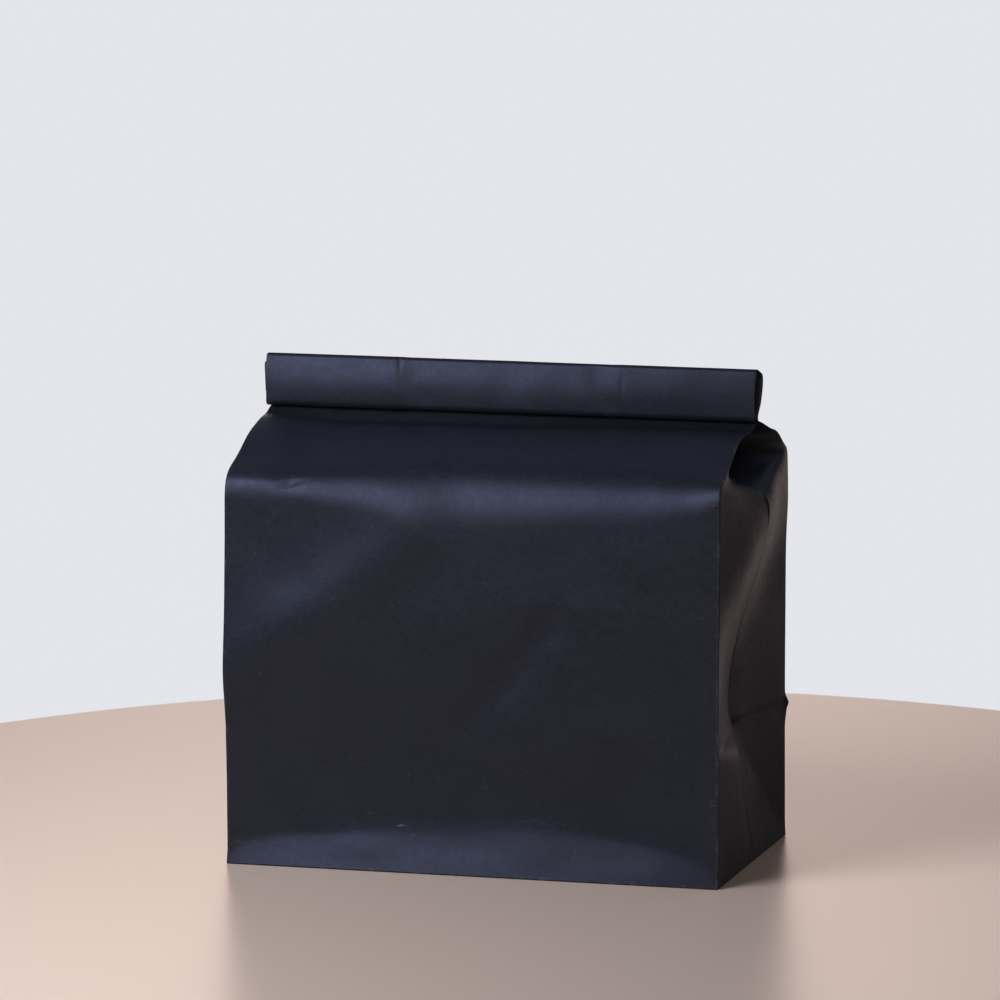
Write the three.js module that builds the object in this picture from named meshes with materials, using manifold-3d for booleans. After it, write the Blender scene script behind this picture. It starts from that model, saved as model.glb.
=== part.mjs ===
// A block-bottom kraft paper bag that stands shut, its mouth rolled down towards the front.
// It is one sheet of paper, so it is one closed solid: walls, side gussets, sloping top and rolled mouth.
// Millimetres, +Z up, +X along the width, the front face towards -Y. The origin is the middle of the base.
import * as THREE from "three";
import { mergeVertices } from "three/addons/utils/BufferGeometryUtils.js";
import Module from "manifold-3d";

const { lerp, smoothstep } = THREE.MathUtils;

// Driving dimensions.
const halfWidth = 110;
const halfDepth = 60;
const creaseHeight = halfDepth; // the block bottom's triangles end where the gusset's middle fold begins
const neckHalfThickness = 1.1;

// The line along the width where both walls meet under the roll. It runs back and down to the right.
const neck = { y: 12.5, z: 192, back: 1.6, drop: 0.7 };

// Each wall stands at side * halfDepth. Its shoulder's heights and radii are given left, middle, right.
// lean: how far its top stands out. belly: how far it swells at mid-height. skirt: the flare along the base.
// humps: how far the slope rises over a straight line, at a share of the way from shoulder to neck.
const frontWall = {
  side: -1,
  shoulder: [170, 171, 172.2],
  radius: [4, 20, 9],
  lean: -1,
  belly: 4,
  skirt: { height: 16, depth: 3.8, leftRun: 0.06, rightRun: 0.3 },
  humps: [
    { at: 0.47, spread: 0.22, left: 0.6, right: 4.6 },
    { at: 0.9, spread: 0.1, left: -0.4, right: -1.4 },
  ],
};
const backWall = {
  side: 1,
  shoulder: [173, 172, 173],
  radius: [6, 18, 6],
  lean: 2.5,
  belly: 1.6,
  skirt: { height: 14, depth: 2.5, leftRun: 0.2, rightRun: 0.2 },
  humps: [{ at: 0.28, spread: 0.26, left: 2.4, right: 3.4 }],
};
const skirtTop = 120; // where a wall is back at its plane above the skirt

// The right gusset's middle fold: pushed in at the crease, popped out below the shoulder, tucked in above.
const foldBase = new THREE.Vector3(halfWidth, 0, 0);
const foldCrease = new THREE.Vector3(halfWidth - 9.7, 0, creaseHeight);
const foldPop = new THREE.Vector3(halfWidth + 7.3, 0.5, 153);
const foldShoulder = new THREE.Vector3(halfWidth - 6, 2.5, 169);
const foldNeck = new THREE.Vector3(halfWidth - halfDepth, neck.y, neck.z);
const foldCurves = {
  foot: new THREE.LineCurve3(foldBase, foldCrease),
  wall: new THREE.CubicBezierCurve3(
    foldCrease,
    new THREE.Vector3(halfWidth - 12, 0, 90),
    new THREE.Vector3(halfWidth, 0.5, 132),
    foldPop,
  ),
  arch: new THREE.QuadraticBezierCurve3(
    foldPop,
    new THREE.Vector3(halfWidth + 6.3, 1, 159.6),
    foldShoulder,
  ),
  slope: new THREE.LineCurve3(foldShoulder, foldNeck),
};
const gussetSwell = { wall: 2, slope: -2 }; // out in x below the shoulder, down in z above it

// The flattened mouth is wound into a flat roll. tail: where its end stops above the roll's lower bend.
const roll = {
  frontY: 5.4,
  bottomZ: 192,
  height: 22.6,
  layers: 4,
  thickness: 1.65,
  gap: 0.4,
  tail: 7,
};
const neckOverlap = 2.4; // how far the roll's outer layer reaches down into the neck

// The mesh: shares of each zone's height where a row runs, and of a panel's width where a column runs.
// A gusset half has its columns at the foot's shares, so that its diagonal crease runs along mesh edges.
const evenShares = (count) => Array.from({ length: count }, (_, i) => (i + 1) / count);
const footShares = [0.09, 0.18, 0.27, 0.4, 0.6, 0.8, 1];
const zones = { foot: [0, ...footShares], wall: evenShares(8), arch: evenShares(5), slope: evenShares(9) };
const panelShares = [0, ...evenShares(22)];
const rollSteps = 10;
const arcSteps = 8;

// A value that is given at the left edge, in the middle and at the right edge, at share u of the width.
function across([left, middle, right], u) {
  const fromMiddle = Math.abs(2 * u - 1);
  return lerp(middle, u < 0.5 ? left : right, fromMiddle ** 3);
}

// How far a wall stands out from the plane of its base edge, below its shoulder's arch.
function standOut(wall, u, z, archStart) {
  const { height, depth, leftRun, rightRun } = wall.skirt;
  const fullDepth = depth * smoothstep(u, 0, leftRun) * smoothstep(1 - u, 0, rightRun);
  const skirt = Math.min(fullDepth, (z * depth) / height) * (1 - smoothstep(z, height, skirtTop));
  const belly = wall.belly * Math.sin((Math.PI * z) / archStart) * Math.sin(Math.PI * u) ** 0.7;
  return wall.lean * smoothstep(z, creaseHeight, archStart) + belly - skirt;
}

// A point of the front or back wall at share u of the width and share q of a zone's height.
function wallPoint(wall, u, zone, q) {
  const x = lerp(-halfWidth, halfWidth, u);
  const out = halfDepth + wall.lean;
  const inner = wall.side * (neck.y + neck.back * (2 * u - 1)) + neckHalfThickness;
  const shoulderZ = across(wall.shoulder, u);
  const neckZ = neck.z - neck.drop * (2 * u - 1);
  const turn = Math.atan2(out - inner, neckZ - shoulderZ);
  const radius = across(wall.radius, u);
  const tangent = radius * Math.tan(turn / 2);
  const archStart = shoulderZ - tangent;
  if (zone === "foot" || zone === "wall") {
    const z = zone === "foot" ? creaseHeight * q : lerp(creaseHeight, archStart, q);
    return new THREE.Vector3(x, wall.side * (halfDepth + standOut(wall, u, z, archStart)), z);
  }
  if (zone === "arch") {
    const angle = turn * q;
    const y = wall.side * (out - radius * (1 - Math.cos(angle)));
    return new THREE.Vector3(x, y, archStart + radius * Math.sin(angle));
  }
  const share = lerp(tangent / Math.hypot(out - inner, neckZ - shoulderZ), 1, q);
  const rise = wall.humps.reduce((sum, hump) => {
    return sum + lerp(hump.left, hump.right, u) * Math.exp(-(((share - hump.at) / hump.spread) ** 2));
  }, 0);
  const z = lerp(shoulderZ, neckZ, share) + rise * Math.sqrt(Math.sin(Math.PI * q));
  return new THREE.Vector3(x, wall.side * lerp(out, inner, share), z);
}

// The points of half a gusset between a wall's edge and the middle fold. outward is 1 right, -1 left.
function gussetHalf(edge, fold, zone, q, outward) {
  return footShares.slice(0, -1).map((t) => {
    const point = edge.clone().lerp(fold, t);
    const arch = 4 * t * (1 - t);
    // The foot is three flat triangles that meet along the diagonal creases.
    if (zone === "foot") point.x = lerp(edge.x, fold.x, Math.min(1, t / q));
    if (zone === "wall") point.x += outward * gussetSwell.wall * arch * Math.sin(Math.PI * q);
    if (zone === "slope") point.z += gussetSwell.slope * arch * (1 - q);
    return point;
  });
}

// One closed ring of points at share q of a zone's height, anticlockwise seen from above.
function ring(zone, q) {
  const front = panelShares.map((u) => wallPoint(frontWall, u, zone, q));
  const back = panelShares.map((u) => wallPoint(backWall, 1 - u, zone, q));
  const rightFold = foldCurves[zone].getPoint(q);
  const leftFold = rightFold.clone().setX(-rightFold.x);
  return [
    ...front,
    ...gussetHalf(front.at(-1), rightFold, zone, q, 1),
    rightFold,
    ...gussetHalf(back[0], rightFold, zone, q, 1).reverse(),
    ...back,
    ...gussetHalf(back.at(-1), leftFold, zone, q, -1),
    leftFold,
    ...gussetHalf(front[0], leftFold, zone, q, -1).reverse(),
  ];
}

// The closed wall mesh: rings joined by two triangles per cell, a fan under the base, a lid over the neck.
function wallGeometry() {
  const rings = Object.entries(zones).flatMap(([zone, shares]) => shares.map((q) => ring(zone, q)));
  const count = rings[0].length;
  const gussetCells = footShares.length;
  const panelCells = panelShares.length - 1;
  const triangles = [];
  for (let row = 0; row < rings.length - 1; row++) {
    for (let column = 0; column < count; column++) {
      const a = row * count + column;
      const b = row * count + ((column + 1) % count);
      const c = b + count;
      const d = a + count;
      // A crease rises away from the corner, so the cells past a middle fold are split the other way.
      const pastFold = column % (count / 2) >= panelCells + gussetCells;
      triangles.push(...(pastFold ? [a, b, d, b, c, d] : [a, b, c, a, c, d]));
    }
  }
  const points = rings.flat();
  points.push(new THREE.Vector3(0, 0, 0));
  const centre = points.length - 1;
  for (let column = 0; column < count; column++) triangles.push(centre, (column + 1) % count, column);
  const top = rings.at(-1).map((point) => new THREE.Vector2(point.x, point.y));
  const firstTop = (rings.length - 1) * count;
  for (const face of THREE.ShapeUtils.triangulateShape(top, [])) {
    triangles.push(...face.map((corner) => firstTop + corner));
  }
  const geometry = new THREE.BufferGeometry().setFromPoints(points);
  geometry.setIndex(triangles);
  return geometry;
}

// The middle line of the rolled mouth in (y, z): up from the neck, over, down the front, and wound inwards.
function rollPath() {
  const pitch = roll.thickness + roll.gap;
  const layerY = (layer) => roll.frontY + roll.thickness / 2 + layer * pitch;
  const last = roll.layers - 1;
  const topZ = roll.bottomZ + roll.height - roll.thickness / 2;
  const lowZ = roll.bottomZ + roll.thickness / 2;
  const outer = (last * pitch) / 2;
  const middle = ((last - 1) * pitch) / 2;
  const inner = ((last - 2) * pitch) / 2;
  const innerTopZ = topZ - pitch - inner;
  const path = new THREE.Path();
  path.moveTo(layerY(last), roll.bottomZ - neckOverlap);
  path.lineTo(layerY(last), topZ - outer);
  path.absarc(layerY(0) + outer, topZ - outer, outer, 0, Math.PI, false);
  path.lineTo(layerY(0), lowZ + middle);
  path.absarc(layerY(0) + middle, lowZ + middle, middle, Math.PI, 2 * Math.PI, false);
  path.lineTo(layerY(last - 1), innerTopZ);
  path.absarc(layerY(1) + inner, innerTopZ, inner, 0, Math.PI, false);
  path.lineTo(layerY(1), lowZ + middle + roll.tail);
  return path;
}

function rollGeometry() {
  const left = [];
  const right = [];
  for (const curve of rollPath().curves) {
    const steps = curve.isEllipseCurve ? arcSteps : 1;
    for (let i = left.length ? 1 : 0; i <= steps; i++) {
      const point = curve.getPoint(i / steps);
      const { x, y } = curve.getTangent(i / steps);
      const normal = new THREE.Vector2(-y, x).multiplyScalar(roll.thickness / 2);
      left.push(point.clone().add(normal));
      right.push(point.clone().sub(normal));
    }
  }
  const shape = new THREE.Shape([...left, ...right.reverse()]);
  const options = { depth: 2 * halfWidth, steps: rollSteps, bevelEnabled: false };
  const geometry = new THREE.ExtrudeGeometry(shape, options);
  geometry.translate(0, 0, -halfWidth);
  const alongX = new THREE.Matrix4().makeBasis(
    new THREE.Vector3(0, 1, 0),
    new THREE.Vector3(0, 0, 1),
    new THREE.Vector3(1, neck.back / halfWidth, -neck.drop / halfWidth),
  );
  return geometry.applyMatrix4(alongX);
}

const wasm = await Module();
wasm.setup();

function toSolid(geometry) {
  geometry.deleteAttribute("normal");
  geometry.deleteAttribute("uv");
  const merged = mergeVertices(geometry, 1e-4);
  const vertProperties = new Float32Array(merged.attributes.position.array);
  const triVerts = new Uint32Array(merged.index.array);
  return new wasm.Manifold(new wasm.Mesh({ numProp: 3, vertProperties, triVerts }));
}

function toGeometry(solid) {
  const { vertProperties, triVerts } = solid.getMesh();
  const geometry = new THREE.BufferGeometry();
  geometry.setAttribute("position", new THREE.BufferAttribute(vertProperties, 3));
  geometry.setIndex(new THREE.BufferAttribute(triVerts, 1));
  geometry.computeVertexNormals();
  return geometry;
}

const paper = new THREE.MeshStandardMaterial({ color: 0x1d1e28, roughness: 0.6, metalness: 0 });
const bag = new THREE.Mesh(toGeometry(toSolid(wallGeometry()).add(toSolid(rollGeometry()))), paper);
bag.name = "bag";

const group = new THREE.Group();
group.add(bag);

export default group;
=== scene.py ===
"""A block-bottom kraft paper bag, its mouth rolled shut, on a pale round table top in soft studio light.

The bag is one sheet of paper, so it is one mesh: a grid of closed rings. Each ring runs round the tube of the
bag (front, right gusset, back, left gusset), and the rings follow each other from the base up the walls, over
the shoulder, along the sloping top, up the neck and round the roll to the hidden edge of the mouth.
The shapes are worked out in millimetres, in the part's frame, and become metres where the mesh is made.
"""

import math

import bpy
import numpy as np
from mathutils import Matrix, Vector


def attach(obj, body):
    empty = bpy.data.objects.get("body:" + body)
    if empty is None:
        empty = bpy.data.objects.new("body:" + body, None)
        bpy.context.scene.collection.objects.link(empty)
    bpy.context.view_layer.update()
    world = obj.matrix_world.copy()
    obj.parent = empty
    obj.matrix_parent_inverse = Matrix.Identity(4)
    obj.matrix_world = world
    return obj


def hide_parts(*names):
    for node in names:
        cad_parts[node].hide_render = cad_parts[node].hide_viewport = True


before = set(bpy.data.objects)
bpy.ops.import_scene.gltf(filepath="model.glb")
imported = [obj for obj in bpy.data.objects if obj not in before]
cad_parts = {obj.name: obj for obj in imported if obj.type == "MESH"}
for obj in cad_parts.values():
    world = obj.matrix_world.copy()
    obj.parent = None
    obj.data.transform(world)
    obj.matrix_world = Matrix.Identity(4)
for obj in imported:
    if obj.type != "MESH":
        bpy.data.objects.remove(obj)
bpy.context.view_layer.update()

MM = 0.001
TINY = 1e-9  # keeps a division by a length from failing where the length is nothing
SEED = 7

# Driving dimensions, in millimetres.
HALF_WIDTH = 110.0
HALF_DEPTH = 60.0
CREASE_Z = HALF_DEPTH  # the block bottom's triangles end where the gusset's middle fold begins
GUSSET = HALF_DEPTH  # width of a folded gusset half
FOLD_X = HALF_WIDTH - GUSSET  # where the middle fold lies in the flattened mouth

# The line along the width where both walls meet under the roll. It runs back and down to the right.
NECK_Y, NECK_Z = 12.5, 192.0
NECK_BACK, NECK_DROP = 1.6, 0.7

# Each wall: tables over the width are (x, value). The skirt is the band at the base that leans in, the swell
# is a bulge over the shoulder and the slope, and the humps lie along the slope, at a share of its length.
FRONT = {
    "side": -1,
    "shoulder": (
        (-110, 170.4), (-95, 170.2), (-84, 168.9), (-72, 169.6), (-54, 170.5),
        (-10, 171.2), (39, 172.4), (79, 173.1), (102, 172.8), (110, 172.2),
    ),
    "radius": (
        (-110, 15), (-96, 16), (-81, 15), (-54, 22), (-10, 31), (40, 31), (80, 26), (101, 18), (110, 11),
    ),
    "lean": -1.0,
    "belly": 1.2,
    "skirt_height": (
        (-110, 5), (-104, 9), (-91, 12.5), (-67, 14.5), (-31, 18.5),
        (20, 21), (60, 18.5), (84, 15.3), (102, 10.8), (110, 7),
    ),
    "skirt_depth": (
        (-110, 1.4), (-104, 3.2), (-91, 4.9), (-67, 6.2), (-31, 8.0),
        (20, 8.6), (60, 6.6), (84, 4.4), (102, 2.6), (110, 0.9),
    ),
    "skirt_knee": ((-110, 0.4), (-60, 1.1), (-20, 2.4), (30, 2.0), (60, 0.6), (84, 0.3), (110, 0.15)),
    "swell": ((-110, 0.4), (-60, 1.4), (0, 2.2), (60, 2.2), (90, 1.4), (110, 0.6)),
    "humps": (
        {
            "at": 0.5,
            "spread": ((-110, 0.26), (-60, 0.4), (60, 0.4), (110, 0.24)),
            "rise": ((-110, 2.4), (-80, 1.1), (0, 0.3), (60, 0.7), (90, 2.6), (110, 4.3)),
        },
        {
            "at": 0.86,
            "spread": ((-110, 0.08), (110, 0.09)),
            "rise": ((-110, -0.8), (-70, -2.2), (-10, -2.2), (40, -1.3), (85, -0.8), (110, -1.4)),
        },
    ),
}
BACK = {
    "side": 1,
    "shoulder": ((-110, 173.0), (0, 172.0), (110, 173.0)),
    "radius": ((-110, 6), (-80, 14), (0, 22), (70, 16), (110, 6)),
    "lean": 2.5,
    "belly": 1.6,
    "skirt_height": ((-110, 6), (-70, 12), (10, 15), (70, 13), (110, 6)),
    "skirt_depth": ((-110, 0.7), (-70, 2.4), (10, 3.2), (70, 2.2), (110, 0.7)),
    "skirt_knee": ((-110, 0.2), (0, 1.2), (110, 0.2)),
    "swell": ((-110, 0.0), (110, 0.0)),
    "humps": (
        {"at": 0.3, "spread": ((-110, 0.3), (110, 0.3)), "rise": ((-110, 2.4), (110, 3.2))},
        {"at": 0.75, "spread": ((-110, 0.2), (110, 0.2)), "rise": ((-110, 0.3), (110, 0.9))},
    ),
}
SKIRT_LOW, SKIRT_TOP = 30.0, 120.0  # the skirt's inset fades out between these heights
LEAN_TOP = 165.0  # the walls lean from the crease up to here
BELLY_POWER = 0.7  # below 1, it keeps the belly broad over the width
BEND_POWER = 1.5  # eases the shoulder's bend in and out
HUMPS_FULL = (0.4, 0.85)  # shares of the slope between which its humps have their full height

# The underside: how far the back flap overlaps the front one past the middle, the step between the layers,
# half the width of such a step, and how far in from the edge of the base the relief begins.
FLAP_OVERLAP, FLAP_STEP = 12.0, 0.3
STEP_REACH, RIM_REACH = 0.6, 3.0

# The gusset's middle fold on the right side, in (x, y, z).
FOLD_BASE = (HALF_WIDTH, 0.0, 0.0)
FOLD_CREASE = (100.3, 0.0, CREASE_Z)
FOLD_POP = (117.3, 0.5, 152.5)
FOLD_SHOULDER = (104.5, 2.5, 165.5)
FOLD_NECK = (FOLD_X, NECK_Y, NECK_Z)
FOLD_LOWER_PULL = (93.6, 0.0, 90.0)
FOLD_UPPER_PULL = (115.6, 0.5, 128.0)
FOLD_ARCH_PULL = (117.8, 1.0, 164.0)

# The gusset's base triangles: the softness of the back half's diagonal fold, as a share of the gusset's half.
DIAGONAL_SOFTNESS = 0.03
# The front half lies flat beside its corner and bends in near the fold: the share across it has a power of
# one at the crease, and FLATNESS more from a share FLAT_FROM of the height below the crease downwards.
FLATNESS, FLAT_FROM = 3.2, 0.2
# The groove in the back half: its depth, its distance from the middle fold, its half width, and the heights
# between which it deepens.
GROOVE_DEPTH, GROOVE_PLACE, GROOVE_HALF = 0.5, 0.75, 0.4
GROOVE_RISE = (40.0, 120.0)
# A bulge across each half: the height of its crest at the corner and at the fold, how far it stands out (in,
# where it is below zero), and its reach below and above the crest.
BULGES = {
    "front": {"crest": (130.0, 146.0), "out": 3.4, "below": 24.0, "above": 15.0},
    "back": {"crest": (130.0, 106.0), "out": -2.2, "below": 17.0, "above": 17.0},
}
# Beside the slope: how far both halves sag at the shoulder, how far the back half is tucked in, and the share
# of the slope's height where the tuck is deepest.
SLOPE_SAG = 2.0
TUCK_DEPTH, TUCK_AT = 5.037, 0.5

# The middle line of the rolled mouth in (y, z), with the radius of each bend.
ROLL_CORNERS = (
    (NECK_Y, NECK_Z, 0.0),
    (14.9, 211.3, 1.9),
    (7.1, 214.4, 0.9),
    (5.9, 192.5, 2.0),
    (10.2, 192.5, 2.0),
    (12.0, 209.3, 1.0),
    (9.6, 210.5, 0.9),
    (8.9, 198.0, 0.0),
)
# Plies of the flattened mouth, as distances from the strip's middle.
PLY_OUTER = 0.75
PLY_EDGE = 0.5
PLY_FOLD = 0.12
PLY_CENTRE = 0.6  # where no gusset lies between the walls
PLY_EDGE_REACH = 0.9  # from each end of the strip, where it grows to its full thickness
PLY_CENTRE_REACH = (-6.0, 0.5)  # from the middle fold, where the strip grows from the centre's thickness
# The roll's face is bowed, and leans back at its top by a distance that varies over the width.
ROLL_BOW, ROLL_BOW_POWER = 0.8, 1.2
ROLL_LEAN = ((-110, 2.0), (-50, 2.3), (0, 2.4), (35, 1.5), (60, 0.9), (110, 0.7))
# How far the face's upper left end stands past the rest, and where that begins left of the middle.
ROLL_FLARE, FLARE_FROM = 1.2, 10.0
# How far the roll's layers slide along the width, by share of its length from the neck to the mouth.
ROLL_SLIDE = ((0.0, 0.0), (0.2, 1.2), (0.3, 0.6), (0.4, -0.3), (0.56, -0.3), (0.66, -1.3), (1.0, -1.3))
# The strip is a little wider than the neck: by this share, reached at this distance above it.
ROLL_SPREAD, SPREAD_REACH = 0.0045, 6.0
# The neck and the roll sit a little to the left of the base, which is slightly twisted below BASE_TURN_TOP.
NECK_SHIFT = -0.9
BASE_SHIFT, BASE_TWIST = -0.35, 0.011
BASE_TURN_TOP = 170.0

# Undulation of the paper: (height, longest wave, shortest wave, number of waves). The power is below one, so
# more of the waves are short.
WAVE_POWER = 0.7
WALL_RIPPLES = ((0.3, 90.0, 22.0, 14), (0.02, 14.0, 7.0, 10))
ROLL_RIPPLE = (0.14, 45.0, 16.0, 8)
RIPPLE_FREE = (14.0, 12.0)  # how far from a fold and from the base it has its full height

# Local folds and dents, each pressed in or out round the line between two points: (start, end, reach, push).
PRESSES = (
    # front: two broad ridges on the left, the valley and the triangle right of the middle, and a small ridge
    ((-108, -60, 84), (-28, -60, 146), 14, (0, -2.1, 0)),
    ((-106, -60, 92), (-78, -60, 92), 34, (0, -2.2, 0)),
    ((-2, -60, 64), (36, -60, 110), 8, (0, 2.2, 0)),
    ((18, -60, 60), (54, -60, 60), 18, (0, -3.2, 0)),
    ((26, -60, 117), (48, -60, 117), 4.5, (0, -0.45, 0)),
    # front: the crease of the block bottom, and the fold that runs up from the lower left corner
    ((-108, -60, 60), (108, -60, 60), 2.2, (0, 0.3, 0)),
    ((-104, -59, 12), (-88, -58, 23), 2.8, (0, 0.45, 0)),
    # the pinch on the left of the shoulder, and the ridge that runs into it
    ((-82.5, -57.5, 166.4), (-80, -56.5, 168), 1.3, (0, 0.5, -0.6)),
    ((-80, -56.5, 168), (-75, -56, 168.6), 1.2, (0, 0.12, -0.15)),
    ((-106, -58, 169), (-86, -58, 168), 3.4, (0, -0.25, 0.25)),
    # the soft fold from the neck down to the pinch, and the hollow beside it
    ((-104, -4, 189), (-87, -45, 177), 6.5, (0, -0.5, 1.1)),
    ((-72, -8, 189), (-76, -44, 177), 8.0, (0, 0.2, -0.4)),
    # right gusset: the ridge down the middle of the base triangle, the block bottom's crease and its worn
    # corner, and the back edge below the slope
    ((101.5, 0.5, 54), (109.0, 4, 8), 5.0, (0.3, 0, 0)),
    ((110, 60, 60), (100.3, 0, 60), 1.6, (0.4, 0, 0)),
    ((110, 60, 60), (110, 60, 60), 2.6, (1.2, 0.2, 0)),
    ((110, 60, 56), (110, 60, 56), 4.0, (0.6, 0.1, 0)),
    ((110, 60, 152), (110, 48, 178), 14.0, (0.8, 0, 0)),
    # roll: the marks of the gusset's folds, and a dent beside each of them
    ((-50.8, 7.9, 213.5), (-49.6, 6.0, 203), 1.1, (0, 0.4, 0)),
    ((-49.6, 6.0, 203), (-50, 4.6, 194), 1.0, (0, 0.15, 0)),
    ((-44, 6.5, 206), (-40, 5, 198), 5.0, (0, 0.5, 0)),
    ((38, 6, 210), (43, 4.6, 197), 4.0, (0, 0.7, 0)),
    ((50, 6.6, 214), (50, 4.6, 193), 0.9, (0, 0.16, 0)),
)

# Rounding of the mesh, in rows or columns and rounds of smoothing: the gussets near the rows where the arch
# and the slope begin, the corners' folds, and the neck away from its ends.
GUSSET_ROUNDING = (("arch", 8.0, 60), ("slope", 9.0, 30))
GUSSET_EDGE = 3.0  # columns beside a corner or a fold in which the gussets' rounding fades in
CORNER_REACH, CORNER_ROUNDS = 2.0, 6
NECK_REACH, NECK_ROUNDS, NECK_END = 3.0, 8, 12.0
RIPPLE_ROWS = 8.0  # rows below the neck in which the walls' undulation fades out

# Wear, and a painted highlight along the folds: how far they reach from a fold and from the base's edge.
FOLD_WEAR_AND_HIGHLIGHT, WEAR_BASE = 0.8, 0.9
# The underside's place on the flat sheet, clear of the walls.
UNDERSIDE_PLACE = (0.0, -200.0)


def smooth(value, low=0.0, high=1.0):
    """0 on low's side and 1 on high's side, with an eased way between them; low may be the greater one."""
    t = np.clip((value - low) / (high - low), 0.0, 1.0)
    return t * t * (3.0 - 2.0 * t)


def mix(a, b, t):
    """From a to b, as t goes from 0 to 1."""
    return a + (b - a) * t


def bell(gap, reach):
    """1 where the gap is nothing, and close to 0 beyond twice the reach."""
    return np.exp(-((gap / reach) ** 2))


def early_hump(t):
    """A hump over t from 0 to 1, highest at a third, where the factor 6.75 makes it 1."""
    return 6.75 * t * (1.0 - t) ** 2


def middle_hump(t):
    """A hump over t from 0 to 1, highest in the middle, where the factor 4 makes it 1."""
    return 4.0 * t * (1.0 - t)


def soft_min(a, b, softness):
    """The smaller of a and b, rounded off where they are nearly equal."""
    return 0.5 * (a + b - np.sqrt((a - b) ** 2 + softness**2))


def curve(x, knots):
    """A smooth curve through (place, value) knots, read at x."""
    at, value = np.array(knots, float).T
    slope = np.gradient(value, at)
    i = np.clip(np.searchsorted(at, x) - 1, 0, len(at) - 2)
    width = at[i + 1] - at[i]
    t = np.clip((x - at[i]) / width, 0.0, 1.0)
    lean = slope[i] * width * t * (1.0 - t) ** 2 - slope[i + 1] * width * t * t * (1.0 - t)
    return mix(value[i], value[i + 1], smooth(t)) + lean


def graded(start, stop, fine_at, fine, coarse, reach, samples=6001):
    """Places from start to stop, close together near the places in fine_at and further apart elsewhere."""
    s = np.linspace(start, stop, samples)
    gap = np.min(np.abs(s[:, None] - np.array(fine_at)[None, :]), axis=1)
    step = mix(fine, coarse, smooth(gap, 0.0, reach))
    count = np.concatenate([[0.0], np.cumsum(np.diff(s) * 2.0 / (step[1:] + step[:-1]))])
    return np.interp(np.linspace(0.0, count[-1], int(math.ceil(count[-1])) + 1), count, s)


def graded_shares(fine_at, length, fine, coarse, reach):
    """Shares of a length, graded as above. The steps are in millimetres, and reach is a share as well."""
    return graded(0.0, 1.0, fine_at, fine / length, coarse / length, reach)


# Columns of the mesh: x over a wall, and shares of a gusset half's width between the corner and the fold.
PANEL_FINE_AT = (-HALF_WIDTH, -FOLD_X, FOLD_X, HALF_WIDTH)
PANEL_X = graded(-HALF_WIDTH, HALF_WIDTH, PANEL_FINE_AT, fine=0.35, coarse=2.6, reach=7.0)
INNER_T = graded_shares((0.0, 1.0), GUSSET, fine=0.3, coarse=2.5, reach=0.11)[1:-1]

# Rows of the mesh: shares of each zone's height, which is a rough one for the wall and the slope.
WALL_HEIGHT, SLOPE_LENGTH = 95.0, 50.0
SKIRT_SHARE = 0.27  # the skirt's knee, as a share of the foot
ARCH_ROWS, ARCH_STEPS = 24, 10  # rows of the arch, and the steps of each in which its bend is summed up
ROWS = {
    "foot": graded_shares((0.0, SKIRT_SHARE, 1.0), CREASE_Z, fine=0.6, coarse=1.8, reach=0.12),
    "wall": graded_shares((0.0, 1.0), WALL_HEIGHT, fine=0.6, coarse=2.2, reach=0.1)[1:],
    "arch": np.linspace(0.0, 1.0, ARCH_ROWS + 1)[1:],
    "slope": graded_shares((0.0, 1.0), SLOPE_LENGTH, fine=0.9, coarse=2.0, reach=0.14)[1:],
}
ROLL_LINE_STEP, ROLL_ARC_STEP = 1.8, 0.4  # millimetres between the rows of the roll, in its runs and bends
ROLL_ARC_LEAST = 4  # rows in each bend at the least


def first_places(names, lengths):
    """Where each named part starts when they follow each other, and where the last one ends."""
    return dict(zip((*names, "end"), np.concatenate([[0], np.cumsum(lengths)])))


# The first column of each part of a ring, and the first row of each zone, with the roll after the last one.
HALF_COLUMNS = len(INNER_T)
RING = first_places(
    ("front", "right_front", "right_fold", "right_back", "back", "left_back", "left_fold", "left_front"),
    (len(PANEL_X), HALF_COLUMNS, 1, HALF_COLUMNS, len(PANEL_X), HALF_COLUMNS, 1, HALF_COLUMNS),
)
COLUMNS = RING["end"]
CORNERS = (RING["front"], RING["right_front"] - 1, RING["back"], RING["left_back"] - 1)
FOLDS = (RING["right_fold"], RING["left_fold"])
ZONE_ROWS = first_places(ROWS, [len(q) for q in ROWS.values()])
NECK_ROW = ZONE_ROWS["end"]


def bend(turn):
    """A rounded shoulder of unit length: how far it has come up and inwards, after each fine step."""
    q = np.linspace(0.0, 1.0, ARCH_ROWS * ARCH_STEPS + 1)[:, None]
    angle = turn * (1.0 - (1.0 - q**BEND_POWER) ** BEND_POWER)
    steps = np.diff(q, axis=0)
    along = np.cumsum(steps * (np.cos(angle[1:]) + np.cos(angle[:-1])) / 2.0, axis=0)
    inward = np.cumsum(steps * (np.sin(angle[1:]) + np.sin(angle[:-1])) / 2.0, axis=0)
    return along, inward


def stand_out(wall, x, z, arch_start):
    """How far a wall stands out from the base rectangle: its lean, its belly and its skirt."""
    depth = curve(x, wall["skirt_depth"])
    knee = curve(x, wall["skirt_knee"])
    flare = z * depth / curve(x, wall["skirt_height"])
    inset = soft_min(flare, depth, knee) - soft_min(0.0, depth, knee)
    inset = inset * (1.0 - smooth(z, SKIRT_LOW, SKIRT_TOP))
    broad = np.cos(math.pi * x / (2.0 * HALF_WIDTH)).clip(0.0) ** BELLY_POWER
    belly = wall["belly"] * np.sin(math.pi * z / arch_start) * broad
    return wall["lean"] * smooth(z, CREASE_Z, LEAN_TOP) + belly - inset


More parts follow.
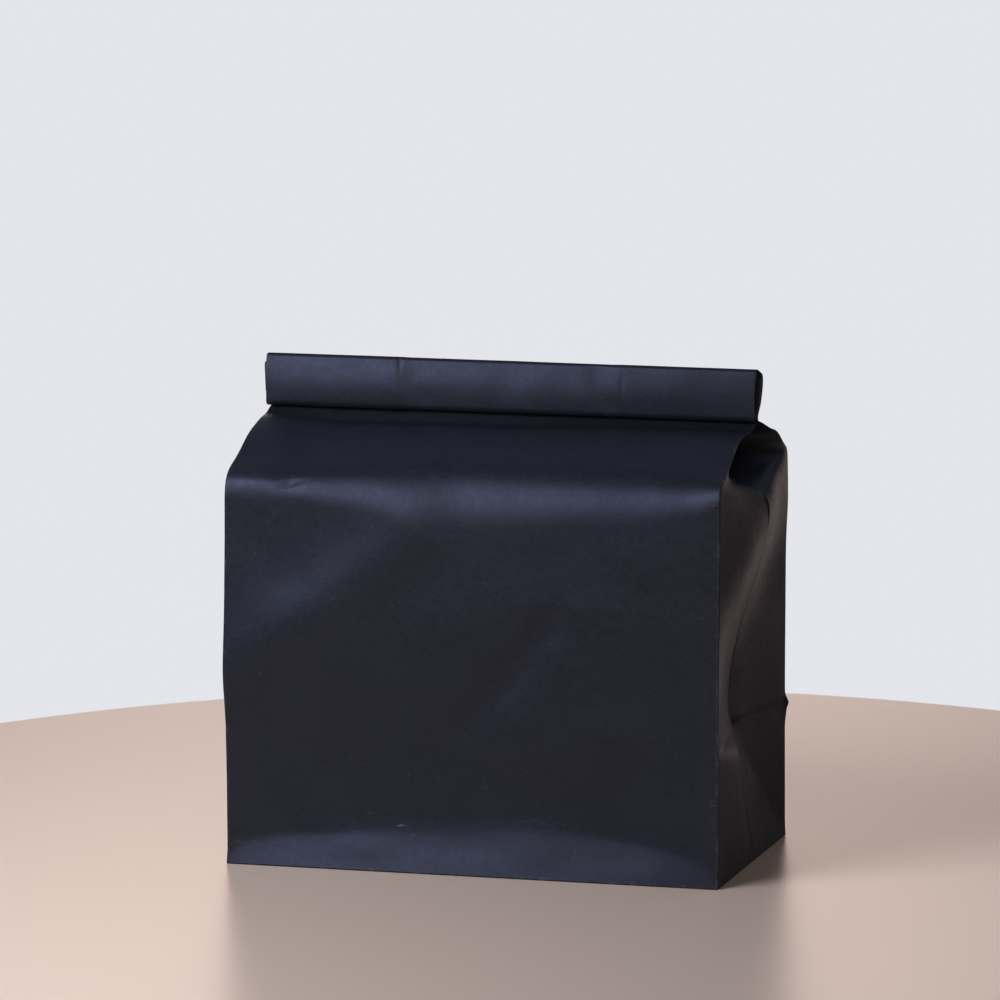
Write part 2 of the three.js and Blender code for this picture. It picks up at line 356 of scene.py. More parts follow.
def wall_zone(wall, zone, q):
    """Points of the front or back wall, one row for each share q of a zone, one column for each x."""
    q = q[:, None]
    x = np.tile(PANEL_X, (len(q), 1))
    across = x / HALF_WIDTH
    side = wall["side"]
    out = HALF_DEPTH + wall["lean"]
    inner = side * (NECK_Y + NECK_BACK * across) + PLY_OUTER
    shoulder = curve(x, wall["shoulder"])
    neck = NECK_Z - NECK_DROP * across
    turn = np.arctan2(out - inner, neck - shoulder)
    length = curve(x, wall["radius"]) * turn
    along, inward = bend(turn[:1])
    upper = length * inward[-1] / np.sin(turn)
    arch_start = shoulder - (length * along[-1] - upper * np.cos(turn))

    if zone in ("foot", "wall"):
        z = q * np.full_like(x, CREASE_Z) if zone == "foot" else mix(CREASE_Z, arch_start, q)
        return np.stack([x, side * (HALF_DEPTH + stand_out(wall, x, z, arch_start)), z], axis=-1)

    swell = curve(x, wall["swell"])
    if zone == "arch":
        last_steps = slice(ARCH_STEPS - 1, None, ARCH_STEPS)
        inset = length * inward[last_steps]
        z = arch_start + length * along[last_steps] + swell * early_hump(inset / (out - inner))
        return np.stack([x, side * (out - inset), z], axis=-1)

    share = mix(upper / np.hypot(out - inner, neck - shoulder), 1.0, q)
    rise = sum(
        curve(x, hump["rise"]) * bell(share - hump["at"], curve(x, hump["spread"])) for hump in wall["humps"]
    )
    rise = rise * smooth(q, 0.0, HUMPS_FULL[0]) * smooth(q, 1.0, HUMPS_FULL[1])
    z = mix(shoulder, neck, share) + rise + swell * early_hump(share)
    return np.stack([x + NECK_SHIFT * smooth(q), side * mix(out, inner, share), z], axis=-1)


def bezier(points, q):
    """A Bezier curve's points at shares q, from its control points."""
    layer = [np.tile(np.array(p, float), (len(q), 1)) for p in points]
    while len(layer) > 1:
        layer = [mix(a, b, q[:, None]) for a, b in zip(layer, layer[1:])]
    return layer[0]


def fold_zone(zone, q):
    """The right gusset's middle fold, one point for each row."""
    controls = {
        "foot": (FOLD_BASE, FOLD_CREASE),
        "wall": (FOLD_CREASE, FOLD_LOWER_PULL, FOLD_UPPER_PULL, FOLD_POP),
        "arch": (FOLD_POP, FOLD_ARCH_PULL, FOLD_SHOULDER),
        "slope": (FOLD_SHOULDER, FOLD_NECK),
    }
    return bezier(controls[zone], q)


def gusset_zone(edge, fold, zone, q, half):
    """Points of a gusset's half, between its corner's edge and the middle fold, without those two."""
    t = INNER_T[None, :]
    q = q[:, None]
    p = mix(edge[:, None, :], fold[:, None, :], t[..., None])
    out = np.sign(fold[0, 0])
    if zone == "foot":
        if half == "front":
            inset = q * t ** (1.0 + FLATNESS * smooth(1.0 - q, 0.0, FLAT_FROM))
        else:
            inset = soft_min(t, q, DIAGONAL_SOFTNESS) - soft_min(0.0, q, DIAGONAL_SOFTNESS)
            inset = np.minimum(inset, q)
        p[..., 0] = edge[:, None, 0] - out * (FOLD_BASE[0] - FOLD_CREASE[0]) * inset
    if zone in ("foot", "wall") and half == "back":
        from_fold = (1.0 - t) * GUSSET
        groove = GROOVE_DEPTH * bell(from_fold - GROOVE_PLACE, GROOVE_HALF) * smooth(p[..., 2], *GROOVE_RISE)
        p[..., 0] -= out * groove
    if zone == "wall":
        bulge = BULGES[half]
        above = p[..., 2] - mix(*bulge["crest"], t)
        reach = np.where(above < 0.0, bulge["below"], bulge["above"])
        p[..., 0] += out * bulge["out"] * np.sin(math.pi * t) * bell(above, reach)
    if zone == "slope":
        p[..., 2] -= SLOPE_SAG * middle_hump(t) * (1.0 - q)
        if half == "back":
            p[..., 0] -= out * TUCK_DEPTH * early_hump(t) * smooth(q, 0.0, TUCK_AT) * smooth(q, 1.0, TUCK_AT)
    return p


def ring_zone(zone, q):
    """A zone of the walls and gussets, between the base and the neck, as rows of closed rings."""
    front = wall_zone(FRONT, zone, q)
    back = wall_zone(BACK, zone, q)[:, ::-1]
    fold_right = fold_zone(zone, q)
    fold_left = fold_right * np.array([-1.0, 1.0, 1.0])
    if zone == "slope":
        for fold in (fold_right, fold_left):
            fold[:, 0] += NECK_SHIFT * smooth(q)
    parts = [
        front,
        gusset_zone(front[:, -1], fold_right, zone, q, "front"),
        fold_right[:, None, :],
        gusset_zone(back[:, 0], fold_right, zone, q, "back")[:, ::-1],
        back,
        gusset_zone(back[:, -1], fold_left, zone, q, "back"),
        fold_left[:, None, :],
        gusset_zone(front[:, 0], fold_left, zone, q, "front")[:, ::-1],
    ]
    return np.concatenate(parts, axis=1)


def rounded_path(path_corners, line_step, arc_step):
    """Points and their left-hand normals along a line through corners, each of them bent to its radius."""
    points = [np.array(path_corners[0][:2])]

    def line_to(end):
        first = points[-1]
        steps = max(1, round(float(np.linalg.norm(end - first)) / line_step))
        points.extend(first + (end - first) * i / steps for i in range(1, steps + 1))

    for before, corner, after in zip(path_corners, path_corners[1:], path_corners[2:]):
        here, radius = np.array(corner[:2]), corner[2]
        back = np.array(before[:2]) - here
        onward = np.array(after[:2]) - here
        back /= np.linalg.norm(back)
        onward /= np.linalg.norm(onward)
        half = math.acos(float(back @ onward)) / 2.0
        centre = here + (back + onward) / np.linalg.norm(back + onward) * radius / math.sin(half)
        start = here + back * radius / math.tan(half)
        line_to(start)
        sweep = math.pi - 2.0 * half
        turn = 1.0 if back[0] * onward[1] - back[1] * onward[0] < 0.0 else -1.0
        steps = max(ROLL_ARC_LEAST, round(sweep * (radius + PLY_OUTER) / arc_step))
        arm = start - centre
        for i in range(1, steps + 1):
            angle = turn * sweep * i / steps
            cosine, sine = math.cos(angle), math.sin(angle)
            turned = (cosine * arm[0] - sine * arm[1], sine * arm[0] + cosine * arm[1])
            points.append(centre + np.array(turned))
    line_to(np.array(path_corners[-1][:2]))
    path = np.array(points)
    along = np.gradient(path, axis=0)
    along /= np.linalg.norm(along, axis=1, keepdims=True)
    return path, np.stack([-along[:, 1], along[:, 0]], axis=1)


def ply_offsets(x):
    """How far a wall's ply lies from the strip's middle: close at the folded ends, thin in the centre."""
    end = smooth(HALF_WIDTH - np.abs(x), 0.0, PLY_EDGE_REACH)
    centre = smooth(np.abs(x), FOLD_X + PLY_CENTRE_REACH[0], FOLD_X + PLY_CENTRE_REACH[1])
    return mix(PLY_EDGE, mix(PLY_CENTRE, PLY_OUTER, centre), end)


def mouth_ring():
    """Each ring column's x in the flattened mouth, and its distance from the strip's middle."""
    reach = HALF_WIDTH - GUSSET * INNER_T
    ply = ply_offsets(PANEL_X)
    inner = mix(PLY_EDGE, PLY_FOLD, INNER_T)
    right = [PANEL_X, reach, [FOLD_X], reach[::-1]]
    left = [PANEL_X[::-1], -reach, [-FOLD_X], -reach[::-1]]
    offset = [ply, inner, [0.0], -inner[::-1], -ply[::-1], -inner, [0.0], inner[::-1]]
    return np.concatenate(right + left), np.concatenate(offset)


def roll_rows():
    """Rows of closed rings along the strip that is rolled up, from the neck to the mouth."""
    x, offset = mouth_ring()
    path, normal = rounded_path(ROLL_CORNERS, ROLL_LINE_STEP, ROLL_ARC_STEP)
    path, normal = path[1:], normal[1:]
    length = np.concatenate([[0.0], np.cumsum(np.linalg.norm(np.diff(path, axis=0), axis=1))])
    slide = curve(length / length[-1], ROLL_SLIDE)[:, None]
    y = path[:, 0, None] + normal[:, 0, None] * offset
    z = path[:, 1, None] + normal[:, 1, None] * offset

    # The face is the run from the top's front bend down to the roll's foot.
    back, face_top, face_foot = ROLL_CORNERS[1:4]
    frontness = smooth(path[:, 0, None], back[0], face_top[0])
    height = ((z - face_foot[1]) / (face_top[1] - face_foot[1])).clip(0.0, 1.0)
    y = y - ROLL_BOW * frontness * np.sin(math.pi * height) ** ROLL_BOW_POWER
    y = y + curve(x, ROLL_LEAN) * frontness * height**2
    flare = -ROLL_FLARE * frontness * height**2 * smooth(-x, FLARE_FROM, HALF_WIDTH)

    y = y + NECK_BACK * x / HALF_WIDTH
    z = z - NECK_DROP * x / HALF_WIDTH
    spread = 1.0 + ROLL_SPREAD * smooth(length[:, None], 0.0, SPREAD_REACH)
    return np.stack([x * spread + NECK_SHIFT + slide + flare, y, z], axis=-1)


def soften(grid, weight, rounds, ring):
    """Rounds off a grid where weight says so, along its rings or from row to row."""
    for _ in range(rounds):
        if ring:
            middle = (np.roll(grid, 1, axis=1) + np.roll(grid, -1, axis=1)) / 2.0
        else:
            middle = grid.copy()
            middle[1:-1] = (grid[:-2] + grid[2:]) / 2.0
        grid = grid + 0.5 * weight[..., None] * (middle - grid)
    return grid


def press(grid, start, end, reach, push):
    """Moves the grid by push near the line from start to end, less and less with distance."""
    start, end = np.array(start, float), np.array(end, float)
    line = end - start
    share = ((grid - start) @ line / max(line @ line, TINY)).clip(0.0, 1.0)
    gap = np.linalg.norm(grid - start - share[..., None] * line, axis=-1)
    return grid + bell(gap, reach)[..., None] * np.array(push, float)


def waves(a, b, longest, shortest, count, draw):
    """A gentle random undulation over two coordinates, of about unit height."""
    total = 0.0
    for _ in range(count):
        length = mix(longest, shortest, draw.random() ** WAVE_POWER)
        heading = draw.random() * math.tau
        phase = draw.random() * math.tau
        step = (a * math.cos(heading) + b * math.sin(heading)) * math.tau / length
        total = total + np.sin(step + phase) * length / longest
    return total / math.sqrt(count / 2.0)


def columns_from(places):
    """How many columns lie between each column of a ring and the nearest of some places on it."""
    gaps = np.abs(np.arange(COLUMNS)[None, :] - np.array(places)[:, None])
    return np.min(np.minimum(gaps, COLUMNS - gaps), axis=0)


def flat_sheet(grid):
    """The flat sheet's coordinates: each column's way round the bag, and each point's way up the sheet."""
    closed = np.concatenate([grid, grid[:, :1]], axis=1)
    across = np.linalg.norm(np.diff(closed, axis=1), axis=-1)
    upward = np.linalg.norm(np.diff(grid, axis=0), axis=-1)
    round_bag = np.concatenate([[0.0], np.cumsum(across[NECK_ROW // 2])])
    return round_bag, np.concatenate([np.zeros((1, COLUMNS)), np.cumsum(upward, axis=0)])


def from_folds(round_bag):
    """How far each column lies from the nearest fold that runs up the bag."""
    folded = np.array([round_bag[c] for c in CORNERS + FOLDS] + [round_bag[-1]])
    return np.min(np.abs(round_bag[:-1, None] - folded[None, :]), axis=1)[None, :]


def undulate(grid, round_bag, height):
    """Waves the walls along their normals, apart from the folds and the base, and the roll a little."""
    draw = np.random.RandomState(SEED)
    normal = np.cross(np.roll(grid, -1, axis=1) - np.roll(grid, 1, axis=1), np.gradient(grid, axis=0))
    normal /= np.linalg.norm(normal, axis=-1, keepdims=True).clip(TINY)
    ripple = sum(rise * waves(round_bag[:-1][None, :], height, *sizes, draw) for rise, *sizes in WALL_RIPPLES)
    free = smooth(from_folds(round_bag), 0.0, RIPPLE_FREE[0]) * smooth(height, 0.0, RIPPLE_FREE[1])
    walls = (1.0 - smooth(np.arange(len(grid)), NECK_ROW - RIPPLE_ROWS, NECK_ROW))[:, None]
    grid = grid + normal * (ripple * free * walls)[..., None]
    rise, *sizes = ROLL_RIPPLE
    grid[NECK_ROW:, :, 1] += rise * waves(grid[NECK_ROW:, :, 0], grid[NECK_ROW:, :, 2], *sizes, draw)
    return grid


def paper_grid():
    """The whole bag as rows of closed rings, and the sheet's own coordinates."""
    grid = np.concatenate([ring_zone(zone, q) for zone, q in ROWS.items()] + [roll_rows()])
    round_bag, height = flat_sheet(grid)
    row = np.arange(len(grid))

    gussets = np.zeros(COLUMNS)
    gussets[RING["right_front"] : RING["back"]] = 1.0
    gussets[RING["left_back"] :] = 1.0
    gussets *= smooth(columns_from(CORNERS + FOLDS), 0.0, GUSSET_EDGE)
    for zone, reach, rounds in GUSSET_ROUNDING:
        near_row = bell(row - ZONE_ROWS[zone], reach)
        grid = soften(grid, near_row[:, None] * gussets[None, :], rounds, ring=False)

    grid = undulate(grid, round_bag, height)
    for start, end, reach, push in PRESSES:
        grid = press(grid, start, end, reach, push)

    from_corner = columns_from(CORNERS)
    near_corner = np.tile(bell(from_corner, CORNER_REACH), (len(grid), 1))
    grid = soften(grid, near_corner, CORNER_ROUNDS, ring=True)
    near_neck = bell(row - NECK_ROW, NECK_REACH)[:, None] * smooth(from_corner, 0.0, NECK_END)[None, :]
    grid = soften(grid, near_neck, NECK_ROUNDS, ring=False)

    turned = 1.0 - smooth(grid[..., 2], 0.0, BASE_TURN_TOP)
    grid[..., 0] += turned * (BASE_SHIFT + BASE_TWIST * grid[..., 1])
    grid[0, :, 2] = 0.0
    return grid, round_bag, height


def base_cap(base, first):
    """The underside of the block bottom: points inside the base ring, and the quads that join them to it."""
    right_column = np.arange(RING["right_front"] - 1, RING["back"] + 1)
    index = np.zeros((len(right_column), len(PANEL_X)), int)
    index[0] = np.arange(len(PANEL_X))
    index[-1] = np.arange(RING["left_back"] - 1, RING["back"] - 1, -1)
    index[:, -1] = right_column
    index[1:-1, 0] = np.arange(COLUMNS - 1, RING["left_back"] - 1, -1)
    inner = index[1:-1, 1:-1]
    inner[:] = first + np.arange(inner.size).reshape(inner.shape)
    x = (PANEL_X[None, :] * base[right_column, 0][:, None] / HALF_WIDTH)[1:-1, 1:-1]
    y = np.tile(base[right_column, 1][1:-1, None], (1, x.shape[1]))
    end_flap = smooth(np.abs(x) - np.abs(y) - (HALF_WIDTH - HALF_DEPTH), -STEP_REACH, STEP_REACH)
    front_flap = smooth(-FLAP_OVERLAP - y, -STEP_REACH, STEP_REACH)
    rim = np.minimum(HALF_WIDTH - np.abs(x), HALF_DEPTH - np.abs(y))
    z = mix(FLAP_STEP * front_flap, 2.0 * FLAP_STEP, end_flap) * smooth(rim, 0.0, RIM_REACH)
    points = np.stack([x, y, z], axis=-1).reshape(-1, 3)
    quads = np.stack([index[:-1, :-1], index[1:, :-1], index[1:, 1:], index[:-1, 1:]], axis=-1).reshape(-1, 4)
    return points, quads


def mouth_quads(last):
    """Faces that close the hidden mouth between its facing plies; last is the last ring's first point."""
    front_side = np.concatenate([np.arange(RING["left_fold"], COLUMNS), np.arange(0, RING["right_fold"] + 1)])
    back_side = np.arange(RING["left_fold"], RING["right_fold"] - 1, -1)
    quads = []
    for i in range(len(front_side) - 1):
        quad = []
        for column in (front_side[i], front_side[i + 1], back_side[i + 1], back_side[i]):
            if last + column not in quad:
                quad.append(int(last + column))
        quads.append(tuple(quad))
    return quads


def sheet_corners(round_bag, height):
    """The flat sheet's coordinates at the corners of the faces between the rings."""
    closed = np.concatenate([height, height[:, :1]], axis=1)
    left, right = round_bag[:-1], round_bag[1:]
    rows = []
    for low, high in zip(closed, closed[1:]):
        corners = [left, low[:-1], right, low[1:], right, high[1:], left, high[:-1]]
        rows.append(np.stack(corners, axis=1).reshape(-1, 2))
    return rows


def bag_mesh():
    """The bag's object: one closed mesh, with the flat sheet's coordinates, and the wear of its folds and
    base edge, which along the folds also carries a painted highlight.
    """
    grid, round_bag, height = paper_grid()
    rows = len(grid)
    ring = np.arange(COLUMNS)
    after = (ring + 1) % COLUMNS
    band = np.stack([ring, after, after + COLUMNS, ring + COLUMNS], axis=1)
    side = np.concatenate([band + row * COLUMNS for row in range(rows - 1)])
    cap_points, cap_quads = base_cap(grid[0], rows * COLUMNS)
    mouth = mouth_quads((rows - 1) * COLUMNS)
    points = np.concatenate([grid.reshape(-1, 3), cap_points])
    mesh = bpy.data.meshes.new("paper_bag")
    mesh.from_pydata((points * MM).tolist(), [], side.tolist() + cap_quads.tolist() + mouth)
    mesh.update()
    mesh.shade_smooth()

    underside = points[cap_quads.reshape(-1), :2] + np.array(UNDERSIDE_PLACE)
    unseen = np.zeros((sum(len(quad) for quad in mouth), 2))
    sheet = np.concatenate(sheet_corners(round_bag, height) + [underside, unseen])
    layer = mesh.uv_layers.new(name="sheet")
    layer.data.foreach_set("uv", (sheet * MM).astype(np.float32).ravel())

    # Paler paper at the folds and the base's edge: wear, and along the folds also a painted highlight, the
    # light that the folds catch.
    wear_and_highlight = np.maximum(bell(from_folds(round_bag), FOLD_WEAR_AND_HIGHLIGHT), bell(height, WEAR_BASE))
    wear_and_highlight = np.concatenate([wear_and_highlight.ravel(), np.zeros(len(cap_points))])
    attribute = mesh.attributes.new("wear_and_highlight", "FLOAT", "POINT")
    attribute.data.foreach_set("value", wear_and_highlight.astype(np.float32))

    bag = bpy.data.objects.new("paper_bag", mesh)
    bpy.context.scene.collection.objects.link(bag)
    return bag


# The paper's colours, as linear light, and its gloss.
INK_DARK = (0.0088, 0.0101, 0.0134, 1.0)
INK_PALE = (0.0160, 0.0184, 0.0240, 1.0)
# The pale colour of paper rubbed bare, also used as a painted highlight along the folds and for one painted
# glint.
PALE_FIBRE_AND_HIGHLIGHT = (0.085, 0.092, 0.115, 1.0)
SPECULAR_LEVEL = 0.46
SPECULAR_TINT = (0.62, 0.66, 1.0, 1.0)
RUBBED_ROUGHER = 0.12
# At the folds this paling is partly wear and partly a painted highlight.
FOLD_PALING = 0.7  # how much of the dye the folds lose at most

# Noise over the sheet in metres: scale, detail and roughness, and the stretch where it has one.
MOTTLE = (45.0, 3.0, 0.5)
FOLD_PATCHES = (130.0, 4.0, 0.7)
CLOUD = (260.0, 3.0, 0.6)
SPECKS = (620.0, 1.0, 0.5)
STREAKS = (900.0, 3.0, 0.6, (0.35, 1.0, 1.0))
GRAIN = (1100.0, 3.0, 0.7)
FIBRE = (1500.0, 2.0, 0.6, (0.3, 1.0, 1.0))

# What a noise's values from the first number to the second become, from the third to the fourth.
STREAK_RANGE = (0.5, 0.68, 0.0, 1.0)
PATCH_RANGE = (0.48, 0.66, 0.12, 1.0)
SPECK_RANGE = (0.71, 0.78, 0.0, 0.25)
MOTTLE_SHADE = (0.3, 0.7, 0.0, 0.3)
CLOUD_SHADE = (0.35, 0.65, 0.0, 0.25)
GRAIN_SHADE = (0.4, 0.62, 0.0, 0.45)
CLOUD_ROUGH = (0.3, 0.7, 0.42, 0.50)

# The surface's relief: the share of each noise, its strength, and its depth in metres.
RELIEF = {"grain": 0.6, "fibre": 0.4, "cloud": 0.8}
RELIEF_STRENGTH, RELIEF_DEPTH = 0.6, 0.00011

# Marks on the front, in millimetres, scuffs and one painted highlight: (x, z, half length, half height, turn
# in degrees, strength).
SCUFFS_AND_GLINT = (
    (-33.0, 20.5, 6.0, 1.1, 8.0, 1.0),
    (-27.0, 16.8, 3.5, 0.8, -4.0, 0.6),
    (-46.0, 25.5, 7.0, 0.9, 3.0, 0.5),
    (34.0, 25.0, 22.0, 1.0, -3.0, 0.45),
    (33.0, 9.5, 5.0, 2.2, -40.0, 0.5),
    (46.0, 12.0, 1.0, 6.0, -8.0, 0.5),
    (-74.0, 6.0, 0.8, 3.4, 6.0, 0.5),
    (62.0, 9.0, 3.0, 3.0, 20.0, 0.45),
    (5.0, 40.0, 2.6, 7.5, 4.0, 0.35),
    (-76.0, 24.0, 6.0, 0.8, -6.0, 0.35),
    (108.2, 33.0, 2.2, 8.0, 0.0, 0.7),
    (109.0, 60.0, 1.2, 3.0, 0.0, 0.6),
    (-106.0, 9.0, 4.0, 3.0, 30.0, 0.8),
    # a painted highlight, not a scuff: the glint on the right front corner at the end of the shoulder
    (108.6, 166.0, 1.6, 5.0, 0.0, 0.6),
    (9.0, 128.0, 9.0, 1.2, -50.0, 0.3),
    (88.0, 118.0, 0.8, 8.0, 15.0, 0.25),
    (-60.0, 120.0, 12.0, 1.0, 35.0, 0.25),
)
MARK_EDGE, MARK_CORE = 1.0, 0.2  # shares of a mark's half size where it begins and where it is full


def add_node(tree, kind, inputs=None, **settings):
    """A new node with its settings, and its inputs given as values or as other nodes' outputs."""
    node = tree.nodes.new(kind)
    for name, value in settings.items():
        setattr(node, name, value)
    for name, value in (inputs or {}).items():
        if isinstance(value, bpy.types.NodeSocket):
            tree.links.new(value, node.inputs[name])
        else:
            node.inputs[name].default_value = value
    return node


def math_node(tree, operation, a, b, clamp=False):
    """The output of one arithmetic step on two numbers or outputs."""
    return add_node(tree, "ShaderNodeMath", {0: a, 1: b}, operation=operation, use_clamp=clamp).outputs[0]


def ranged(tree, value, low, high, to_low=0.0, to_high=1.0, soft=False):
    """A value brought from one range into another and held there, in a straight or an eased way."""
    inputs = {"Value": value, "From Min": low, "From Max": high, "To Min": to_low, "To Max": to_high}
    kind = "SMOOTHSTEP" if soft else "LINEAR"
    return add_node(tree, "ShaderNodeMapRange", inputs, interpolation_type=kind).outputs["Result"]


def noise(tree, vector, scale, detail, roughness, stretch=None):
    """Noise between 0 and 1, with its coordinates scaled by stretch first where that is given."""
    if stretch:
        vector = add_node(tree, "ShaderNodeMapping", {"Vector": vector, "Scale": stretch}).outputs[0]
    inputs = {"Vector": vector, "Scale": scale, "Detail": detail, "Roughness": roughness}
    return add_node(tree, "ShaderNodeTexNoise", inputs).outputs["Fac"]


def mixed_colour(tree, factor, a, b):
    """Colour a where the factor is 0, and colour b where it is 1."""
    inputs = {"Factor": factor, "A": a, "B": b}
    return add_node(tree, "ShaderNodeMix", inputs, data_type="RGBA").outputs["Result"]


def scuff_and_glint_mask(tree, sheet):
    """Short scratches and rubbed spots, and one painted glint, strongest in their middles and broken up along
    their length.
    """
    total = 0.0
    for x, z, half_length, half_height, degrees, strength in SCUFFS_AND_GLINT:
        inputs = {
            "Vector": sheet,
            "Location": ((x + HALF_WIDTH) * MM, z * MM, 0.0),
            "Rotation": (0.0, 0.0, math.radians(degrees)),
            "Scale": (half_length * MM, half_height * MM, 1.0),
        }
        spot = add_node(tree, "ShaderNodeMapping", inputs, vector_type="TEXTURE").outputs[0]
        gap = add_node(tree, "ShaderNodeVectorMath", {0: spot}, operation="LENGTH").outputs["Value"]
        mark = ranged(tree, gap, MARK_EDGE, MARK_CORE, 0.0, strength, soft=True)
        total = math_node(tree, "ADD", total, mark)
    streaks = ranged(tree, noise(tree, sheet, *STREAKS), *STREAK_RANGE, soft=True)
    return math_node(tree, "MULTIPLY", total, streaks, clamp=True)


def paper_material():
    """Navy kraft: short fibres in the surface, a mottled dye, edges rubbed paler at the folds, with a painted
    highlight along them.
    """
    material = bpy.data.materials.new("navy_kraft")
    material.use_nodes = True
    tree = material.node_tree
    shader = tree.nodes["Principled BSDF"]
    shader.inputs["Specular IOR Level"].default_value = SPECULAR_LEVEL
    shader.inputs["Specular Tint"].default_value = SPECULAR_TINT
    sheet = add_node(tree, "ShaderNodeUVMap", uv_map="sheet").outputs["UV"]
    mottle = noise(tree, sheet, *MOTTLE)
    cloud = noise(tree, sheet, *CLOUD)
    grain = noise(tree, sheet, *GRAIN)
    fibre = noise(tree, sheet, *FIBRE)

    # Where the paper is painted paler: along the folds in patches, partly wear and partly a painted
    # highlight; at the marks on the front, scuffs and one painted glint; and in fine specks of rubbed-off
    # dye.
    wear_and_highlight_factor = add_node(tree, "ShaderNodeAttribute", attribute_name="wear_and_highlight").outputs["Fac"]
    patches = ranged(tree, noise(tree, sheet, *FOLD_PATCHES), *PATCH_RANGE, soft=True)
    edges = math_node(tree, "MULTIPLY", math_node(tree, "MULTIPLY", wear_and_highlight_factor, patches), FOLD_PALING)
    specks = ranged(tree, noise(tree, sheet, *SPECKS), *SPECK_RANGE, soft=True)
    rubbed_and_highlit = math_node(tree, "MAXIMUM", math_node(tree, "MAXIMUM", edges, scuff_and_glint_mask(tree, sheet)), specks)

    shade = math_node(tree, "ADD", ranged(tree, mottle, *MOTTLE_SHADE), ranged(tree, cloud, *CLOUD_SHADE))
    shade = math_node(tree, "ADD", shade, ranged(tree, grain, *GRAIN_SHADE))
    dye = mixed_colour(tree, shade, INK_DARK, INK_PALE)
    tree.links.new(mixed_colour(tree, rubbed_and_highlit, dye, PALE_FIBRE_AND_HIGHLIGHT), shader.inputs["Base Color"])

    rough = ranged(tree, cloud, *CLOUD_ROUGH)
    rough = math_node(tree, "ADD", rough, math_node(tree, "MULTIPLY", rubbed_and_highlit, RUBBED_ROUGHER))
    tree.links.new(rough, shader.inputs["Roughness"])

    parts = ((grain, RELIEF["grain"]), (fibre, RELIEF["fibre"]), (cloud, RELIEF["cloud"]))
    weighed = [math_node(tree, "MULTIPLY", source, share) for source, share in parts]
    relief = math_node(tree, "ADD", math_node(tree, "ADD", weighed[0], weighed[1]), weighed[2])
    inputs = {"Height": relief, "Strength": RELIEF_STRENGTH, "Distance": RELIEF_DEPTH}
    bump = add_node(tree, "ShaderNodeBump", inputs)
    tree.links.new(bump.outputs["Normal"], shader.inputs["Normal"])
    return material


bag = bag_mesh()
bag.data.materials.append(paper_material())
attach(bag, "root")
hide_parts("bag")

# The stage, in metres: a round table top just under the bag, and the pale background that the camera sees.
TABLE_RADIUS, TABLE_THICKNESS, TABLE_SIDES = 0.413, 0.02, 256
TABLE_PLACE = (0.012, -0.016, -0.0101)
TABLE_COLOUR = (0.93, 0.72, 0.56, 1.0)
TABLE_ROUGHNESS = 0.35
BACKGROUND = (0.77, 0.785, 0.83, 1.0)

# The key light: degrees round from the front and above level, distance and side in metres, watts, colour.
MIDDLE = (0.0, 0.0, 0.12)
KEY_DEGREES, KEY_HEIGHT = -34.0, 34.0
KEY_DISTANCE, KEY_SIDE = 0.85, 0.5
KEY_POWER = 5.4
KEY_COLOUR = (0.82, 0.86, 1.0)

# Soft light from far away: degrees round from the front and above level, the dot products where it begins
# and where it is full, and its colour times its strength.
GLOWS = (
    (20.0, 10.0, 0.78, 1.0, (1.05, 0.92, 0.72)),
    (180.0, 52.0, 0.62, 0.95, (0.15, 0.17, 0.25)),
    (196.0, 8.5, 0.98, 1.0, (3.6, 2.8, 2.4)),
    (130.0, -7.0, 0.95, 1.0, (0.45, 0.36, 0.34)),
    (171.0, -8.0, 0.95, 1.0, (0.66, 0.51, 0.49)),
)

# The camera: its place in metres, its angles in degrees, and its lens and sensor in millimetres.
CAMERA_PLACE = (0.7149, -2.4814, 0.54496)
CAMERA_HEADING, CAMERA_PITCH, CAMERA_ROLL = 16.143, 8.590, 0.387
CAMERA_LENS, CAMERA_SENSOR = 216.0, 36.0


def direction(degrees, height):
    """A unit vector: degrees from the front towards the right, and degrees above level."""
    turn, rise = math.radians(degrees), math.radians(height)
    return (math.sin(turn) * math.cos(rise), -math.cos(turn) * math.cos(rise), math.sin(rise))


def table_material():
    """The table's pale, even surface."""
    material = bpy.data.materials.new("pale_table")
    material.use_nodes = True
    shader = material.node_tree.nodes["Principled BSDF"]
    shader.inputs["Base Color"].default_value = TABLE_COLOUR
    shader.inputs["Roughness"].default_value = TABLE_ROUGHNESS
    return material


def table_top():
    """The round table top that the bag stands on."""
    bpy.ops.mesh.primitive_cylinder_add(
        vertices=TABLE_SIDES, radius=TABLE_RADIUS, depth=TABLE_THICKNESS, location=TABLE_PLACE
    )
    table = bpy.context.object
    table.name = "table_top"
    table.data.materials.append(table_material())


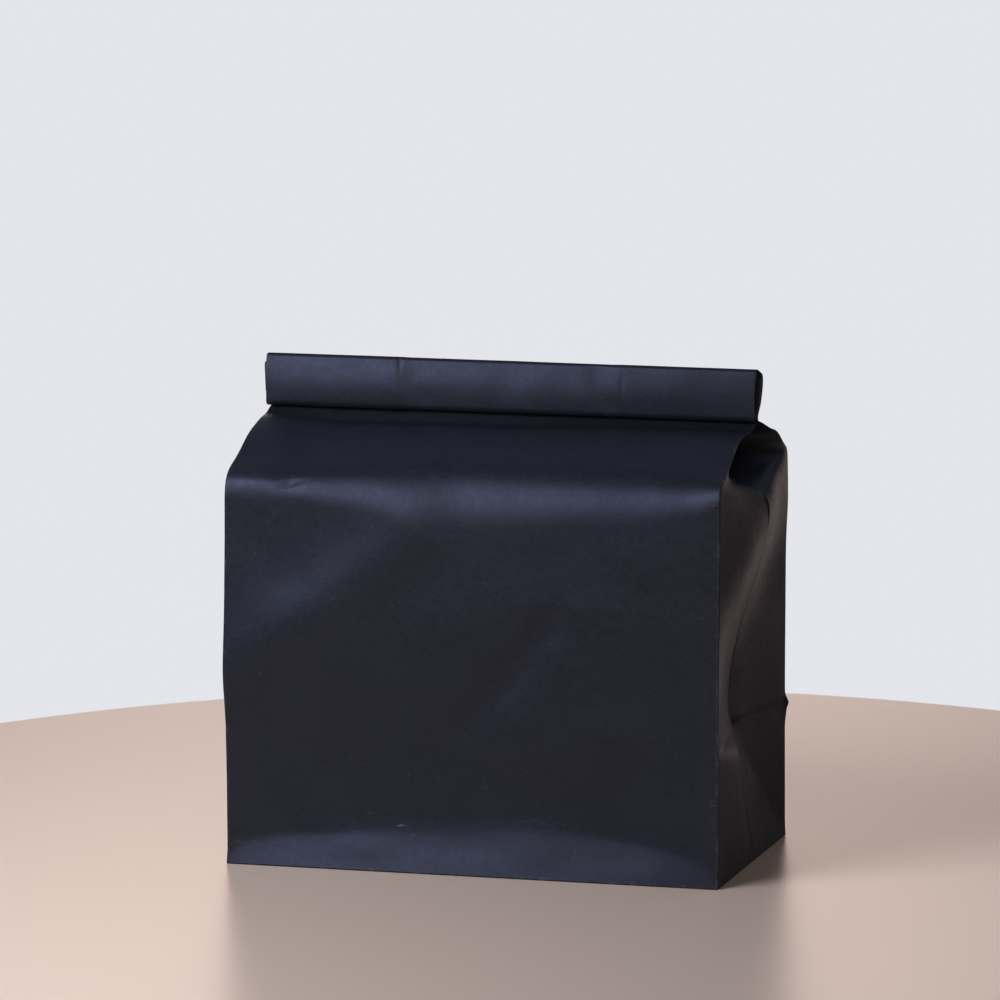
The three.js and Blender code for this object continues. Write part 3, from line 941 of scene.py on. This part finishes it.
def key_light():
    """A square soft light that faces the middle of the bag."""
    data = bpy.data.lights.new("key", "AREA")
    data.shape = "RECTANGLE"
    data.size = KEY_SIDE
    data.size_y = KEY_SIDE
    data.energy = KEY_POWER
    data.color = KEY_COLOUR
    aim = Vector(direction(KEY_DEGREES, KEY_HEIGHT))
    light = bpy.data.objects.new("key", data)
    light.location = Vector(MIDDLE) + KEY_DISTANCE * aim
    light.rotation_euler = (-aim).to_track_quat("-Z", "Y").to_euler()
    bpy.context.scene.collection.objects.link(light)


def studio_world():
    """A pale background for the camera, and soft glows from a few sides for the bag."""
    world = bpy.data.worlds.new("studio")
    bpy.context.scene.world = world
    world.use_nodes = True
    tree = world.node_tree
    outward = add_node(tree, "ShaderNodeTexCoord").outputs["Generated"]

    glows = []
    for degrees, height, begins, full, colour in GLOWS:
        inputs = {0: outward, 1: direction(degrees, height)}
        dot = add_node(tree, "ShaderNodeVectorMath", inputs, operation="DOT_PRODUCT").outputs["Value"]
        inputs = {"Color": (*colour, 1.0), "Strength": ranged(tree, dot, begins, full, soft=True)}
        glows.append(add_node(tree, "ShaderNodeBackground", inputs).outputs[0])
    total = glows[0]
    for glow in glows[1:]:
        total = add_node(tree, "ShaderNodeAddShader", {0: total, 1: glow}).outputs[0]

    seen = add_node(tree, "ShaderNodeBackground", {"Color": BACKGROUND}).outputs[0]
    camera_ray = add_node(tree, "ShaderNodeLightPath").outputs["Is Camera Ray"]
    either = add_node(tree, "ShaderNodeMixShader", {0: camera_ray, 1: total, 2: seen})
    tree.links.new(either.outputs[0], tree.nodes["World Output"].inputs["Surface"])


def photo_camera():
    """A camera with a long lens, a little to the right of the bag and above it."""
    data = bpy.data.cameras.new("camera")
    data.lens = CAMERA_LENS
    data.sensor_width = CAMERA_SENSOR
    camera = bpy.data.objects.new("camera", data)
    bpy.context.scene.collection.objects.link(camera)
    turn = Matrix.Rotation(math.radians(CAMERA_HEADING), 4, "Z")
    turn = turn @ Matrix.Rotation(math.radians(90.0 - CAMERA_PITCH), 4, "X")
    turn = turn @ Matrix.Rotation(math.radians(-CAMERA_ROLL), 4, "Z")
    camera.matrix_world = Matrix.Translation(CAMERA_PLACE) @ turn
    return camera


table_top()
key_light()
studio_world()
bpy.context.scene.camera = photo_camera()
bpy.context.scene.view_settings.view_transform = "Standard"
